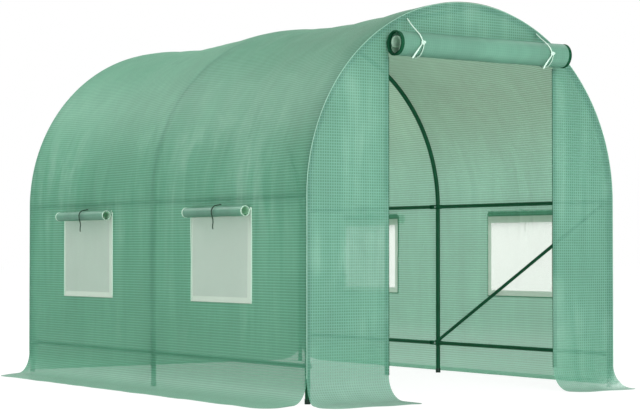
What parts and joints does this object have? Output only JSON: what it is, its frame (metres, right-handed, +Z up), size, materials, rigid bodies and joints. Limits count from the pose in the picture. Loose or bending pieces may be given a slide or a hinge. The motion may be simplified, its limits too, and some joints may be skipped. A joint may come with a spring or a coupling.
{
  "type": "polytunnel greenhouse",
  "caption": "Walk-in polytunnel greenhouse: round-arched steel frame under a sewn sheet cover with screened windows, a rolled-up door and a ground skirt.",
  "frame": {"origin": "on the ground at the middle of the tunnel, which is also the middle of the footprint", "axes": "+Y along the tunnel towards the closed rear end, with the door at -Y; +X to the right seen from the door; +Z up"},
  "size_m": [2.68, 3.64, 2],
  "materials": {
    "frame_tube": "satin dark green powder coat on steel tube",
    "foot_plastic": "moulded dark plastic",
    "bolt": "zinc-plated steel",
    "cover_sheet": "woven polyethylene sheet with a square reinforcing grid, translucent green, slight sheen",
    "window_screen": "fine pale insect mesh",
    "zip": "dark green coil zip on woven tape",
    "door_tie": "white braided cord",
    "window_tie": "dark green braided cord"
  },
  "bodies": {
    "root": {"front_arch": "frame_tube", "middle_arch": "frame_tube", "rear_arch": "frame_tube", "front_left_leg": "frame_tube", "front_right_leg": "frame_tube", "middle_left_leg": "frame_tube", "middle_right_leg": "frame_tube", "rear_left_leg": "frame_tube", "rear_right_leg": "frame_tube", "left_bottom_rail": "frame_tube", "right_bottom_rail": "frame_tube", "left_shoulder_rail": "frame_tube", "right_shoulder_rail": "frame_tube", "ridge_rail": "frame_tube", "right_brace": "frame_tube", "ridge_plugs": "frame_tube", "bolts": "bolt", "foot_caps": "foot_plastic", "left_wall_sheet": "cover_sheet", "right_wall_sheet": "cover_sheet", "roof_right_low": "cover_sheet", "roof_right_mid": "cover_sheet", "roof_right_top": "cover_sheet", "roof_left_top": "cover_sheet", "roof_left_mid": "cover_sheet", "roof_left_low": "cover_sheet", "front_left_panel": "cover_sheet", "front_right_panel": "cover_sheet", "front_transom": "cover_sheet", "rear_panel": "cover_sheet", "left_skirt": "cover_sheet", "right_skirt": "cover_sheet", "front_left_skirt": "cover_sheet", "front_right_skirt": "cover_sheet", "rear_skirt": "cover_sheet", "left_window_screens": "window_screen", "right_window_screens": "window_screen", "left_window_flaps": "cover_sheet", "right_window_flaps": "cover_sheet", "door_roll": "cover_sheet", "door_zips": "zip", "door_tie_left_front": "door_tie", "door_tie_left_back": "door_tie", "door_tie_right_front": "door_tie", "door_tie_right_back": "door_tie", "window_tie_left_front": "window_tie", "window_tie_left_rear": "window_tie", "window_tie_right_front": "window_tie", "window_tie_right_rear": "window_tie"}
  },
  "joints": []
}
